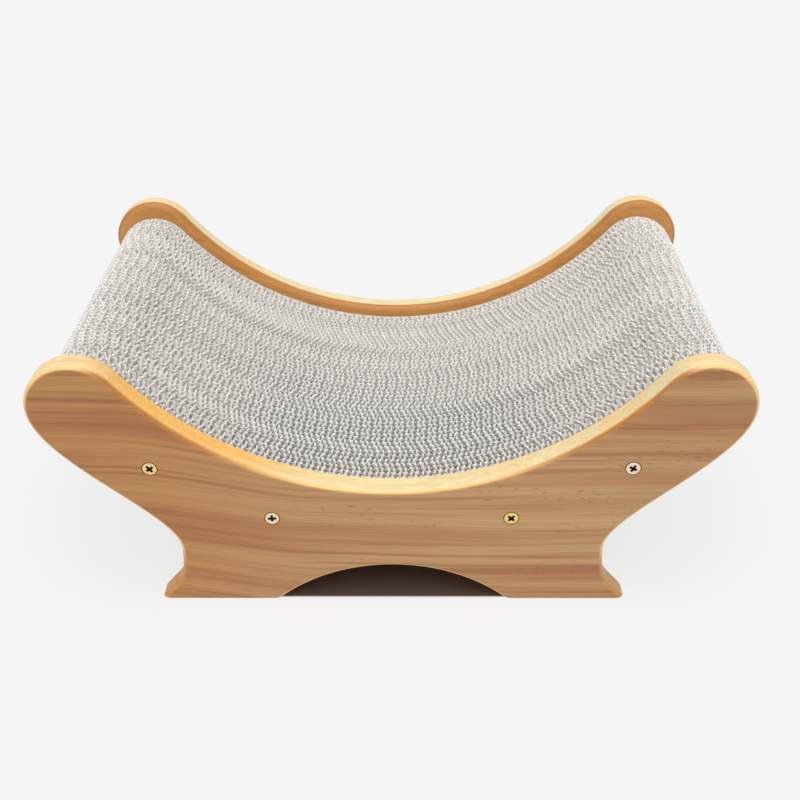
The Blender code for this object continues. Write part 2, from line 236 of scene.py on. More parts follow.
class Finishes(bpy.types.PropertyGroup):
    pine_light: tint("Pine Light", "Early wood of the boards", (0.55, 0.318, 0.138))
    pine_dark: tint("Pine Dark", "Late wood of the boards", (0.455, 0.212, 0.076))
    pine_line: tint("Pine Line", "Thin reddish lines in the boards", (0.36, 0.135, 0.045))
    pine_amber: tint("Pine Amber", "Tint of the boards' left side", (0.95, 0.80, 0.56))
    # Painted light: the inside of the rear board is painted lighter and warmer than its outside
    pine_inside_lit: tint("Pine Inside", "Warmer inside of the rear board", (0.76, 0.35, 0.08))
    pine_tick: tint("Pine Tick", "Small dark ticks in the grain", (0.20, 0.09, 0.035))
    # Painted highlight: the rims are painted far paler than the faces, standing in for the light from above
    rim_lit_pale: tint("Rim Light", "Sanded rims of the boards", (0.82, 0.70, 0.40))
    rim_lit_dark: tint("Rim Dark", "Late wood on the rims", (0.95, 0.50, 0.11))
    # Painted light: a bright orange glow painted on the roundings between the lit rims and the faces
    rounding_glow: tint("Gold", "Roundings of the boards", (0.93, 0.58, 0.20))
    # Painted shade: the brown of the shaded roundings and of the rims low on the feet
    shade_brown: tint("Shade Brown", "Browned parts of the rims", (0.48, 0.18, 0.025))
    rail_light: tint("Rail Light", "Early wood of the rails", (0.66, 0.47, 0.26))
    rail_dark: tint("Rail Dark", "Late wood of the rails", (0.50, 0.30, 0.13))
    paper: tint("Paper", "Paper of the pad", (0.94, 0.91, 0.865))
    # Painted shade on the paper's cut edges, which face the light from above, and deep in the cells
    cut_edge: share("Cut Edge", "Lightness of the paper's cut edges", 0.80)
    cell_front: share("Cell Front", "Lightness deep in the cells at the front", 0.60)
    cell_rear: share("Cell Rear", "Lightness deep in the cells at the back", 0.92)
    cell_depth: metres("Cell Depth", "How deep the cells are lit", 2.5 * MM)
    zinc: tint("Zinc", "Yellow zinc of the screws", (0.88, 0.68, 0.17))
    zinc_worn: tint("Zinc Worn", "Pinkish worn zinc", (0.90, 0.74, 0.67))
    # Painted shade in the screws' crosses and on the heads' sunk lower edges
    recess_shade: tint("Recess Shade", "Dark residue in the screws' crosses", (0.02, 0.015, 0.01))


class StageSettings(bpy.types.PropertyGroup):
    camera_place: bpy.props.FloatVectorProperty(
        name="Camera Place", description="Where the camera stands",
        default=(0.0153, -0.71005, 0.51242), subtype="TRANSLATION",
    )
    camera_pitch: degrees("Pitch", "How far it looks down", 31.747)
    camera_heading: degrees("Heading", "How far it turns left", 0.9)
    camera_roll: degrees("Roll", "How far it leans", -0.59)
    camera_lens: bpy.props.FloatProperty(
        name="Lens", description="Focal length", default=50.0, unit="CAMERA"
    )
    floor: tint("Floor", "Plain pale floor", (0.78, 0.78, 0.78))
    floor_shade: tint("Floor Shade", "The floor in deep shade under the boards", (0.11, 0.07, 0.055))
    floor_lift: share("Floor Lift", "How much the floor's shadows are lit up", 0.82)
    floor_glow: share("Floor Glow", "How bright the floor is lit up to", 0.922)
    floor_size: metres("Floor Size", "Half the floor's side", 8.0)
    floor_gap: metres("Floor Gap", "How far the floor lies below the feet", 0.2 * MM)
    shade_edge: metres("Shade Edge", "Soft edge of the deep shade", 3 * MM)
    sun: number("Sun", "Strength of the overhead light", 2.6)
    sun_width: degrees("Sun Width", "How wide the overhead light is", 75)
    sun_tilt: degrees("Sun Tilt", "How far the overhead light stands to the front", 18)
    sky: number("Sky", "Strength of the even light", 0.34)


# Meshes

def add_object(name, data):
    """Puts a mesh, a curve, a lamp or a camera into the scene."""
    added = bpy.data.objects.new(name, data)
    bpy.context.scene.collection.objects.link(added)
    return added


def add_piece(name, shape):
    """Turns a bmesh into an object at the origin."""
    mesh = bpy.data.meshes.new(name)
    shape.to_mesh(mesh)
    shape.free()
    if not mesh.polygons:
        raise RuntimeError(name + " came out empty")
    return add_object(name, mesh)


def smooth(piece, angle=CRISP_ANGLE):
    """Shades a piece smooth, with crisp corners above an angle."""
    piece.data.shade_smooth()
    piece.data.set_sharp_from_angle(angle=angle)


def evaluated_mesh(piece):
    """A new mesh of an object as its modifiers or its curve make it."""
    bpy.context.view_layer.update()
    graph = bpy.context.evaluated_depsgraph_get()
    return bpy.data.meshes.new_from_object(piece.evaluated_get(graph))


def bake_modifiers(piece):
    """Keeps what the modifiers make as the piece's own mesh."""
    made = evaluated_mesh(piece)
    piece.modifiers.clear()
    old = piece.data
    piece.data = made
    bpy.data.meshes.remove(old)
    made.name = piece.name
    if not made.polygons:
        raise RuntimeError(piece.name + " was lost in its modifiers")


def cut_out(piece, cutters):
    """Cuts each cutter out of the piece, and removes the cutters."""
    for cutter in cutters:
        cutting = piece.modifiers.new("cut", "BOOLEAN")
        cutting.operation = "DIFFERENCE"
        cutting.solver = "EXACT"
        cutting.object = cutter
    bake_modifiers(piece)
    for cutter in cutters:
        bpy.data.objects.remove(cutter, do_unlink=True)


def move(shape, matrix):
    bmesh.ops.transform(shape, matrix=matrix, verts=shape.verts)


def block(size):
    """A box of one size with its middle at the origin."""
    shape = bmesh.new()
    bmesh.ops.create_cube(shape, size=1.0)
    bmesh.ops.scale(shape, verts=shape.verts, vec=size)
    return shape


def spin(shape, **settings):
    """Winds all of a shape about Z."""
    whole = shape.verts[:] + shape.edges[:] + shape.faces[:]
    bmesh.ops.spin(shape, geom=whole, axis=(0, 0, 1), cent=(0, 0, 0), **settings)


def turned(profile, matrix):
    """A round solid about Z from its outer profile of (radius, height), top to bottom."""
    shape = bmesh.new()
    corners = [shape.verts.new((radius, 0, height)) for radius, height in profile]
    for upper, lower in zip(corners, corners[1:]):
        shape.edges.new((upper, lower))
    spin(shape, steps=ROUND_STEPS, angle=math.tau, use_merge=True)
    bmesh.ops.remove_doubles(shape, verts=shape.verts, dist=WELD)
    bmesh.ops.recalc_face_normals(shape, faces=shape.faces)
    move(shape, matrix)
    return shape


def arc_handle(radius, angle):
    """Length of the Bezier handles that draw an arc."""
    return radius * math.tan(angle / 4) * 4 / 3


def seat_radius(sizes):
    """Radius of the cradle arc that runs through its low point and meets the horn arcs smoothly."""
    horn_x = sizes.length / 2 - sizes.horn_radius
    rise = sizes.height - sizes.horn_radius - sizes.seat_low_point
    drop = sizes.height - sizes.seat_low_point
    return (horn_x**2 + rise**2 - sizes.horn_radius**2) / (2 * drop)


def seat_centre(sizes):
    return sizes.seat_low_point + seat_radius(sizes)


def board_half_outline(sizes):
    """Right half of a board as (point, handle before, handle after); None is a straight side."""
    radius = seat_radius(sizes)
    horn_x = sizes.length / 2 - sizes.horn_radius
    horn_z = sizes.height - sizes.horn_radius
    turn = math.atan2(horn_x, seat_centre(sizes) - horn_z)
    along = Vector((math.cos(turn), math.sin(turn)))
    right = Vector((1, 0))
    up = Vector((0, 1))
    seat_low = Vector((0, sizes.seat_low_point))
    seat_end = Vector((radius * math.sin(turn), seat_centre(sizes) - radius * math.cos(turn)))
    horn_top = Vector((horn_x, sizes.height))
    horn_side = Vector((sizes.length / 2, horn_z))
    waist = Vector((sizes.waist_width / 2, sizes.waist_height))
    seat_reach = arc_handle(radius, turn)
    horn_reach = arc_handle(sizes.horn_radius, turn)
    quarter_reach = arc_handle(sizes.horn_radius, math.pi / 2)
    flare = Vector((-math.cos(sizes.foot_angle), math.sin(sizes.foot_angle)))
    tip = Vector((sizes.foot_width / 2, 0))
    toe = tip + flare * sizes.toe_height / flare.y
    below = -2 * sizes.edge_round
    arch_radius = (sizes.arch_width**2 / 4 + sizes.arch_height**2) / (2 * sizes.arch_height)
    arch_turn = math.acos((arch_radius - sizes.arch_height + below) / arch_radius)
    arch_foot = Vector((arch_radius * math.sin(arch_turn), below))
    arch_along = Vector((-math.cos(arch_turn), math.sin(arch_turn)))
    arch_top = Vector((0, sizes.arch_height))
    arch_reach = arc_handle(arch_radius, arch_turn)
    return [
        (seat_low, seat_low - seat_reach * right, seat_low + seat_reach * right),
        (seat_end, seat_end - seat_reach * along, seat_end + horn_reach * along),
        (horn_top, horn_top - horn_reach * right, horn_top + quarter_reach * right),
        (horn_side, horn_side + quarter_reach * up, horn_side - sizes.horn_sweep * up),
        (waist, waist + sizes.waist_sweep * up, waist - sizes.foot_sweep * up),
        (toe, toe + sizes.foot_flare * flare, None),
        (tip + flare * below / flare.y, None, None),
        (arch_foot, None, arch_foot + arch_reach * arch_along),
        (arch_top, arch_top + arch_reach * right, arch_top - arch_reach * right),
    ]


def mirrored(half):
    """A closed outline from its right half, which starts and ends on the middle line."""
    left = []
    for knot in reversed(half[1:-1]):
        point, before, after = [Vector((-v.x, v.y)) if v is not None else None for v in knot]
        left.append((point, after, before))
    return half + left


def board_shape(sizes):
    """A side board with rounded edges, standing in the XZ plane with its middle at Y = 0."""
    curve = bpy.data.curves.new("board_outline", "CURVE")
    curve.dimensions = "2D"
    curve.fill_mode = "BOTH"
    curve.resolution_u = CURVE_STEPS
    curve.render_resolution_u = CURVE_STEPS
    curve.extrude = sizes.thickness / 2 - sizes.edge_round
    curve.bevel_depth = sizes.edge_round
    curve.bevel_resolution = EDGE_STEPS
    curve.offset = -sizes.edge_round
    outline = mirrored(board_half_outline(sizes))
    spline = curve.splines.new("BEZIER")
    spline.bezier_points.add(len(outline) - 1)
    spline.use_cyclic_u = True
    for knot, (point, before, after) in zip(spline.bezier_points, outline):
        knot.co = (*point, 0)
        knot.handle_left_type = "VECTOR" if before is None else "FREE"
        knot.handle_right_type = "VECTOR" if after is None else "FREE"
        if before is not None:
            knot.handle_left = (*before, 0)
        if after is not None:
            knot.handle_right = (*after, 0)
    drawn = add_object("board_outline", curve)
    mesh = evaluated_mesh(drawn)
    bpy.data.objects.remove(drawn, do_unlink=True)
    shape = bmesh.new()
    shape.from_mesh(mesh)
    bpy.data.meshes.remove(mesh)
    move(shape, Matrix.Rotation(math.pi / 2, 4, "X"))
    bmesh.ops.remove_doubles(shape, verts=shape.verts, dist=OUTLINE_WELD)
    trim_base(shape)
    return shape


def trim_base(shape):
    """Cuts a board off flat at the floor, and makes each of its two flat faces one face."""
    whole = shape.verts[:] + shape.edges[:] + shape.faces[:]
    bmesh.ops.bisect_plane(
        shape, geom=whole, dist=OUTLINE_WELD, plane_co=(0, 0, 0), plane_no=(0, 0, -1), clear_outer=True
    )
    bmesh.ops.edgenet_fill(shape, edges=[edge for edge in shape.edges if edge.is_boundary])
    bmesh.ops.recalc_face_normals(shape, faces=shape.faces)
    for facing in FACINGS.values():
        flat = [face for face in shape.faces if facing * face.normal.y > FLAT_ENOUGH]
        bmesh.ops.dissolve_faces(shape, faces=flat)


# Node materials

def feed(tree, node, values):
    """Sets a node's inputs to values, or joins them to other nodes' outputs."""
    for socket, value in values.items():
        if isinstance(value, bpy.types.NodeSocket):
            tree.links.new(value, node.inputs[socket])
        else:
            node.inputs[socket].default_value = value


def add_node(tree, kind, values, **settings):
    """A shader node with its settings and its inputs."""
    node = tree.nodes.new("ShaderNode" + kind)
    for key, value in settings.items():
        setattr(node, key, value)
    feed(tree, node, values)
    return node


def math_node(tree, operation, first, second=0.0, clamp=False):
    values = {0: first, 1: second}
    return add_node(tree, "Math", values, operation=operation, use_clamp=clamp).outputs[0]


def times(tree, first, *others):
    for other in others:
        first = math_node(tree, "MULTIPLY", first, other)
    return first


def minus(tree, first, second):
    return math_node(tree, "SUBTRACT", first, second)


def larger(tree, first, *others):
    for other in others:
        first = math_node(tree, "MAXIMUM", first, other)
    return first


def unsigned(tree, value):
    return math_node(tree, "ABSOLUTE", value)


def axes(tree, vector):
    """The X, Y and Z of a vector."""
    return add_node(tree, "SeparateXYZ", {0: vector}).outputs[:]


def vector_node(tree, operation, first, second):
    return add_node(tree, "VectorMath", {0: first, 1: second}, operation=operation).outputs[0]


def raised(tree, vector, lift):
    """The same coordinates, moved up by a value."""
    shift = add_node(tree, "CombineXYZ", {"Z": lift}).outputs[0]
    return vector_node(tree, "ADD", vector, shift)


def noise(tree, vector, stretch, detail=2.0, roughness=0.5):
    """Cloudy noise, with a number of clouds to the metre for each axis."""
    place = vector_node(tree, "MULTIPLY", vector, stretch)
    values = {"Vector": place, "Scale": 1.0, "Detail": detail, "Roughness": roughness}
    return add_node(tree, "TexNoise", values).outputs["Fac"]


def ramp(tree, value, low, high, to_low=0.0, to_high=1.0):
    """A value mapped smoothly from one range to another, held at its ends."""
    values = {"Value": value, "From Min": low, "From Max": high, "To Min": to_low, "To Max": to_high}
    return add_node(tree, "MapRange", values, interpolation_type="SMOOTHSTEP").outputs["Result"]


def mix_colours(tree, factor, first, second, blend="MIX"):
    """Two colours mixed, each one another node's output or red, green and blue."""
    values = {0: factor, 6: first, 7: second}
    for socket in (6, 7):
        if not isinstance(values[socket], bpy.types.NodeSocket):
            values[socket] = (*values[socket], 1.0)
    return add_node(tree, "Mix", values, data_type="RGBA", blend_type=blend).outputs[2]


def shaded(tree, colour, value):
    """A colour made lighter or darker by a value."""
    channels = {"Red": value, "Green": value, "Blue": value}
    grey = add_node(tree, "CombineColor", channels).outputs[0]
    return mix_colours(tree, 1.0, colour, grey, "MULTIPLY")


def new_material(name):
    """A material with its node tree and its Principled shader."""
    material = bpy.data.materials.new(name)
    material.use_nodes = True
    tree = material.node_tree
    return material, tree, tree.nodes["Principled BSDF"]


def object_coordinates(tree):
    return add_node(tree, "TexCoord", {}).outputs["Object"]


def attribute(tree, name):
    return add_node(tree, "Attribute", {}, attribute_name=name).outputs["Fac"]


def bump(tree, height, distance, strength=1.0):
    values = {"Height": height, "Distance": distance, "Strength": strength}
    return add_node(tree, "Bump", values).outputs["Normal"]


def seen_directly(tree):
    """1 where the camera, a reflection or a clear piece shows the backdrop, 0 where it only gives light."""
    rays = add_node(tree, "LightPath", {}).outputs
    return larger(tree, rays["Is Camera Ray"], rays["Is Glossy Ray"], rays["Is Transmission Ray"])


def pine_grain_group():
    """Growth bands, thin lines, fine streaks and short dark ticks of pine, with the grain along X."""
    found = bpy.data.node_groups.get("pine_grain")
    if found is not None:
        return found
    tree = bpy.data.node_groups.new("pine_grain", "ShaderNodeTree")
    tree.interface.new_socket("Vector", in_out="INPUT", socket_type="NodeSocketVector")
    for name in GRAIN_PARTS:
        tree.interface.new_socket(name, in_out="OUTPUT", socket_type="NodeSocketFloat")
    vector = tree.nodes.new("NodeGroupInput").outputs["Vector"]
    sway = noise(tree, vector, (5, 9, 14), detail=1.0)
    swayed = raised(tree, vector, times(tree, sway, 14 * MM))
    band = ramp(tree, noise(tree, swayed, (1.7, 22, 58), roughness=0.55), 0.36, 0.64)
    narrow = noise(tree, swayed, (3.2, 60, 210), roughness=0.6)
    line = ramp(tree, math_node(tree, "ADD", narrow, times(tree, band, 0.08)), 0.54, 0.74)
    streak = noise(tree, swayed, (14, 300, 900), detail=3.0, roughness=0.65)
    patch = ramp(tree, noise(tree, vector, (11, 30, 42), detail=1.0), 0.48, 0.62)
    speck = ramp(tree, noise(tree, vector, (170, 500, 640), detail=1.0), 0.60, 0.72)
    parts = dict(zip(GRAIN_PARTS, (band, line, streak, times(tree, patch, speck))))
    feed(tree, tree.nodes.new("NodeGroupOutput"), parts)
    return tree


def pine_grain(tree, vector):
    group = add_node(tree, "Group", {"Vector": vector}, node_tree=pine_grain_group())
    return [group.outputs[name] for name in GRAIN_PARTS]


def cradle_distance(tree, sizes, x, z):
    """How far a point lies from the cradle's arc."""
    rise = minus(tree, z, seat_centre(sizes))
    off = add_node(tree, "CombineXYZ", {"X": x, "Z": rise}).outputs[0]
    away = add_node(tree, "VectorMath", {0: off}, operation="LENGTH").outputs["Value"]
    return unsigned(tree, minus(tree, away, seat_radius(sizes)))


def pine_face(tree, colours, band, line, x, inner):
    """Faces of the boards: more amber on the left and inside the rear board, duller on the horns, and
    painted light making the inside of the rear board lighter and warmer.
    """
    amber = larger(tree, ramp(tree, x, *LEFT_AMBER), inner)
    face = mix_colours(tree, band, colours.pine_light, colours.pine_dark)
    face = mix_colours(tree, times(tree, line, 0.7), face, colours.pine_line)
    face = mix_colours(tree, amber, face, mix_colours(tree, 1.0, face, colours.pine_amber, "MULTIPLY"))
    face = shaded(tree, face, ramp(tree, unsigned(tree, x), *HORN_SHADE))
    # Painted light makes the inside of the rear board lighter and warmer
    return mix_colours(tree, times(tree, inner, 0.55), face, colours.pine_inside_lit)


def pine_rim(tree, radius, colours, band, x, y, across, sunk):
    """Rims of the boards, painted pale as a painted highlight: orange on the front rim's left slope, with a
    paler painted highlight along the outer shoulders.
    """
    front = math_node(tree, "LESS_THAN", y, 0.0)
    slope = times(tree, ramp(tree, x, *SLOPE_START), ramp(tree, x, *SLOPE_END), front)
    tone = math_node(tree, "ADD", times(tree, band, 0.4), slope, clamp=True)
    # Painted highlight: a paler streak along the rims' outer shoulders, fading towards the horns
    start = ramp(tree, sunk, 0.6 * radius, radius)
    stop = ramp(tree, sunk, 1.1 * radius, 1.9 * radius, 0.7, 0.0)
    outer = math_node(tree, "GREATER_THAN", across, 0.0)
    shoulder = times(tree, start, stop, outer, ramp(tree, unsigned(tree, x), *SHOULDER_HIGHLIGHT_SIDES))
    tone = times(tree, tone, minus(tree, 1.0, shoulder))
    return mix_colours(tree, tone, colours.rim_lit_pale, colours.rim_lit_dark)


def oiled_pine(sizes, colours):
    """Boards: oiled pine with brown faces; painted light gives yellow-orange roundings and pale rims, as
    lit from above, and painted shade browns some roundings.
    """
    material, tree, shader = new_material("oiled_pine")
    place = object_coordinates(tree)
    x, y, z = axes(tree, place)
    aside = unsigned(tree, x)
    radius = sizes.edge_round
    # The bands sink towards the middle left of a board
    grain_place = raised(tree, place, ramp(tree, x, *BAND_SINK))
    band, line, streak, tick = pine_grain(tree, grain_place)

    # How far out from the middle of its board a point lies, and how deep under the nearer face
    across = minus(tree, unsigned(tree, y), (sizes.depth - sizes.thickness) / 2)
    sunk = minus(tree, sizes.thickness / 2, unsigned(tree, across))

    # Painted shade browns a line under the rims' slopes, the inside of the rear board and the feet's sides
    near = ramp(tree, cradle_distance(tree, sizes, x, z), *LINE_FADE)
    under_rim = times(tree, near, ramp(tree, aside, *LINE_SIDES))
    rear = math_node(tree, "GREATER_THAN", y, 0.0)
    inner = times(tree, math_node(tree, "LESS_THAN", across, 0.0), rear)
    low = ramp(tree, z, 0.6 * sizes.waist_height, 1.1 * sizes.waist_height, 0.8, 0.0)
    feet = times(tree, low, ramp(tree, aside, 0.55 * sizes.arch_width, 0.7 * sizes.arch_width))
    rounding_shade = larger(tree, under_rim, inner, feet)
    # The roundings' painted glow turns to the painted shade's brown where that shade lies
    lit_rounding = mix_colours(tree, rounding_shade, colours.rounding_glow, colours.shade_brown)
    rounding = ramp(tree, sunk, 0.02 * radius, 0.2 * radius)
    # Along the line and inside the rear board the painted shade takes more of the rounding, so the pale rim
    # starts further in
    reach = larger(tree, times(tree, under_rim, 0.1), inner)
    pale = minus(tree, sunk, times(tree, reach, 0.8 * radius))
    rim = ramp(tree, pale, 0.2 * radius, 0.75 * radius)

    face = pine_face(tree, colours, band, line, x, inner)
    edge = pine_rim(tree, radius, colours, band, x, y, across, sunk)
    # Painted shade browns the rims low on the feet
    edge = mix_colours(tree, feet, edge, colours.shade_brown)
    wood = mix_colours(tree, rim, mix_colours(tree, rounding, face, lit_rounding), edge)
    wood = shaded(tree, wood, ramp(tree, streak, *NOISE_SPREAD, 0.90, 1.08))
    # Ticks are few on the left, and faint on the roundings and rims
    faint = ramp(tree, rounding, 0.0, 1.0, 0.55, 0.05)
    tick = times(tree, tick, ramp(tree, x, *LEFT_TICKS), faint)
    height = math_node(tree, "ADD", streak, times(tree, band, 0.4))
    feed(tree, shader, {
        "Base Color": mix_colours(tree, tick, wood, colours.pine_tick),
        "Roughness": ramp(tree, streak, *NOISE_SPREAD, 0.38, 0.50),
        "Coat Weight": ramp(tree, band, 0.0, 1.0, 0.12, 0.2),
        "Coat Roughness": 0.25,
        "Normal": bump(tree, height, 0.08 * MM),
    })
    return material


def rail_pine(colours):
    """Rails: plain planed pine with the grain along Y."""
    material, tree, shader = new_material("rail_pine")
    turn = {"Vector": object_coordinates(tree), "Rotation": (0, 0, math.pi / 2)}
    band, line, streak, tick = pine_grain(tree, add_node(tree, "Mapping", turn).outputs[0])
    wood = mix_colours(tree, larger(tree, band, line), colours.rail_light, colours.rail_dark)
    wood = mix_colours(tree, times(tree, tick, 0.4), wood, colours.pine_tick)
    feed(tree, shader, {
        "Base Color": wood,
        "Roughness": ramp(tree, streak, *NOISE_SPREAD, 0.55, 0.7),
        "Normal": bump(tree, streak, 0.1 * MM),
    })
    return material


def cardboard(colours, layer_pitch):
    """Pale grey paper board: each sheet a little lighter or darker, with cloudy pulp, fine fibres, and
    painted shade on its cut edges and deep in its cells.
    """
    material, tree, shader = new_material("corrugated_cardboard")
    place = object_coordinates(tree)
    x, y = axes(tree, place)[:2]
    aside = unsigned(tree, x)
    sheet = noise(tree, place, (2.5, 0.75 / layer_pitch, 2.5), detail=1.0)
    sheet = ramp(tree, sheet, *NOISE_SPREAD, -0.05, 0.05)
    pulp = ramp(tree, noise(tree, place, (160, 160, 160), detail=3.0), *NOISE_SPREAD, 0.93, 1.03)
    fibre = noise(tree, place, (2600, 2600, 420))
    shade = math_node(tree, "ADD", sheet, pulp)
    # Painted shade makes the cut edges, which face the light from above, duller than the walls below them,
    # and more so on the slopes
    deep = attribute(tree, DEPTH_ATTRIBUTE)
    edge = ramp(tree, aside, *PAD_SLOPES, colours.cut_edge, 0.92 * colours.cut_edge)
    shade = times(tree, shade, ramp(tree, deep, 0.0, CUT_EDGE, edge, 1.0))
    # Painted shade darkens the cells with depth, most at the front and least on the slopes
    gloom = ramp(tree, y, PAD_LOW.y, PAD_HIGH.y, 1 - colours.cell_front, 1 - colours.cell_rear)
    level = ramp(tree, aside, *PAD_SLOPES, 1.0, 0.25)
    gloom = times(tree, gloom, level, ramp(tree, deep, CUT_EDGE, colours.cell_depth))
    shade = times(tree, shade, minus(tree, 1.0, gloom))
    feed(tree, shader, {
        "Base Color": shaded(tree, colours.paper, shade),
        "Roughness": 0.92,
        "Specular IOR Level": 0.2,
        "Normal": bump(tree, fibre, 0.05 * MM, 0.6),
    })
    return material


def yellow_zinc(boards, colours):
    """Screws: yellow zinc plate that wears to a pinkish white, by the screw's own wear attribute."""
    material, tree, shader = new_material("yellow_zinc")
    place = object_coordinates(tree)
    blotch = ramp(tree, noise(tree, place, (420, 420, 420)), 0.35, 0.65, -0.3, 0.3)
    worn = math_node(tree, "ADD", attribute(tree, WEAR_ATTRIBUTE), blotch, clamp=True)
    plate = mix_colours(tree, worn, colours.zinc, colours.zinc_worn)
    # Painted shade darkens the cross, and the head's sunk lower edge too
    y = axes(tree, place)[1]
    sunk = minus(tree, boards.depth / 2, unsigned(tree, y))
    scratch = noise(tree, place, (5200, 5200, 900))
    feed(tree, shader, {
        "Base Color": mix_colours(tree, ramp(tree, sunk, *RECESS_EDGE), plate, colours.recess_shade),
        "Metallic": 1.0,
        "Roughness": ramp(tree, scratch, *NOISE_SPREAD, 0.24, 0.42),
        "Normal": bump(tree, scratch, 0.01 * MM),
    })
    return material


# Pieces

def screw_axis(name):
    """Where a screw sits along X and Z."""
    low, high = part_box(name + "_screw")
    return Vector(((low.x + high.x) / 2, 0, (low.z + high.z) / 2))


def screw_matrix(name, sizes):
    """From a screw along Z with its head face at Z = 0 to its place in a board."""
    facing = FACINGS[name.split("_")[0]]
    axis = screw_axis(name)
    seat = Vector((axis.x, facing * sizes.depth / 2, axis.z))
    inwards = Matrix.Rotation(-facing * math.pi / 2, 4, "X")
    turn = math.radians(SCREW_HEADS[name][0])
    return Matrix.Translation(seat) @ inwards @ Matrix.Rotation(turn, 4, "Z")


def screw_hole(name, boards, screws):
    """A cutter for a screw's countersunk hole."""
    head = screws.head / 2 + screws.clearance
    shank = screws.diameter / 2 + screws.clearance
    neck = -screws.head_rim - screws.head_cone - screws.clearance
    end = -screws.length - screws.clearance
    past = 2 * boards.edge_round
    profile = [
        (0, past),
        (head, past),
        (head, -screws.head_rim - screws.clearance),
        (shank, neck),
        (shank, end),
        (0, end),
    ]
    return add_piece(name + "_hole", turned(profile, screw_matrix(name, boards)))


def settle(piece, material, body, slot, *nodes):
    """Gives a piece its material and its body, and hides the solids that it stands for; the slot is not
    used.
    """
    piece.data.materials.clear()
    piece.data.materials.append(material)
    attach(piece, body)
    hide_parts(*nodes)


class SCRATCHER_OT_side_boards(bpy.types.Operator):
    """Builds the two side boards with their countersunk screw holes"""

    bl_idname = "scratcher.side_boards"
    bl_label = "Side Boards"

    def execute(self, context):
        sizes = context.scene.scratcher_boards
        screws = context.scene.scratcher_screws
        finish = oiled_pine(sizes, context.scene.scratcher_finishes)
        for name, facing in FACINGS.items():
            shape = board_shape(sizes)
            middle = facing * (sizes.depth - sizes.thickness) / 2
            move(shape, Matrix.Translation((0, middle, 0)))
            board = add_piece(name + "_board", shape)
            cut_out(board, [screw_hole(name + "_" + spot, sizes, screws) for spot in SPOTS])
            smooth(board)
            # The shading leans on the large flat faces, so that only the roundings shade as round
            board.modifiers.new("weigh", "WEIGHTED_NORMAL").keep_sharp = True
            bake_modifiers(board)
            settle(board, finish, FRAME_BODY, "oiled_pine", name + "_side_board")
        return {"FINISHED"}


class SCRATCHER_OT_cross_rails(bpy.types.Operator):
    """Builds the four rails under the pad"""

    bl_idname = "scratcher.cross_rails"
    bl_label = "Cross Rails"

    def execute(self, context):
        sizes = context.scene.scratcher_rails
        boards = context.scene.scratcher_boards
        screws = context.scene.scratcher_screws
        finish = rail_pine(context.scene.scratcher_finishes)
        length = boards.depth - 2 * boards.thickness - 2 * sizes.end_gap
        for spot in SPOTS:
            axis = screw_axis("front_" + spot)
            lean = math.atan2(axis.x, seat_centre(boards) - axis.z)
            shape = block((sizes.width, length, sizes.thickness))
            bmesh.ops.bevel(
                shape, geom=shape.edges[:], offset=sizes.edge_round, affect="EDGES",
                segments=RAIL_EDGE_STEPS, profile=0.5, material=-1,
            )
            move(shape, Matrix.Translation(axis) @ Matrix.Rotation(-lean, 4, "Y"))
            rail = add_piece(spot + "_batten", shape)
            cut_out(rail, [screw_hole(name + "_" + spot, boards, screws) for name in FACINGS])
            smooth(rail)
            settle(rail, finish, FRAME_BODY, "rail_pine", spot + "_rail")
        return {"FINISHED"}


def screw_shape(sizes):
    """A countersunk wood screw along Z with its head face at Z = 0: head, shank and tip."""
    head = sizes.head / 2
    core = sizes.core / 2
    neck = -sizes.head_rim - sizes.head_cone
    soft = 0.35 * MM
    crown = 0.12 * MM
    shoulder = 0.26 * MM
    point = 0.3 * MM
    profile = [
        (0, 0),
        (head - 3 * soft, 0),
        (head - soft, -crown),
        (head - 0.25 * soft, -shoulder),
        (head, -sizes.head_rim),
        (core + soft, neck),
        (core, neck - soft),
        (core, sizes.tip - sizes.length),
        (point, -sizes.length),
        (0, -sizes.length),
    ]
    return turned(profile, Matrix.Identity(4))


def thread_shape(sizes):
    """The thread's ridge, wound round the shank from above the tip and sunk a little into it."""
    sunk = 0.2 * MM
    foot = sizes.core / 2 - sunk
    half = sizes.thread_foot / 2
    start = sizes.tip - sizes.length
    turns = sizes.thread_length / sizes.thread_pitch
    shape = bmesh.new()
    corners = [
        shape.verts.new((radius, 0, start + height))
        for radius, height in ((foot, -half), (sizes.diameter / 2, 0), (foot, half))
    ]
    shape.faces.new(corners)
    rise = (0, 0, sizes.thread_pitch / THREAD_STEPS)
    spin(shape, dvec=rise, steps=round(turns * THREAD_STEPS), angle=turns * math.tau)
    bmesh.ops.recalc_face_normals(shape, faces=shape.faces)
    return shape


def recess_wing(name, sizes, turn):
    """One arm of the cross recess, narrower towards its floor, as a cutter."""
    taper = (0.4, 0.7, 1)
    shape = block((sizes.recess_length, sizes.recess_width, 2 * sizes.recess_depth))
    floor = [corner for corner in shape.verts if corner.co.z < 0]
    bmesh.ops.scale(shape, verts=floor, vec=taper)
    move(shape, Matrix.Rotation(turn, 4, "Z"))
    return add_piece(name, shape)


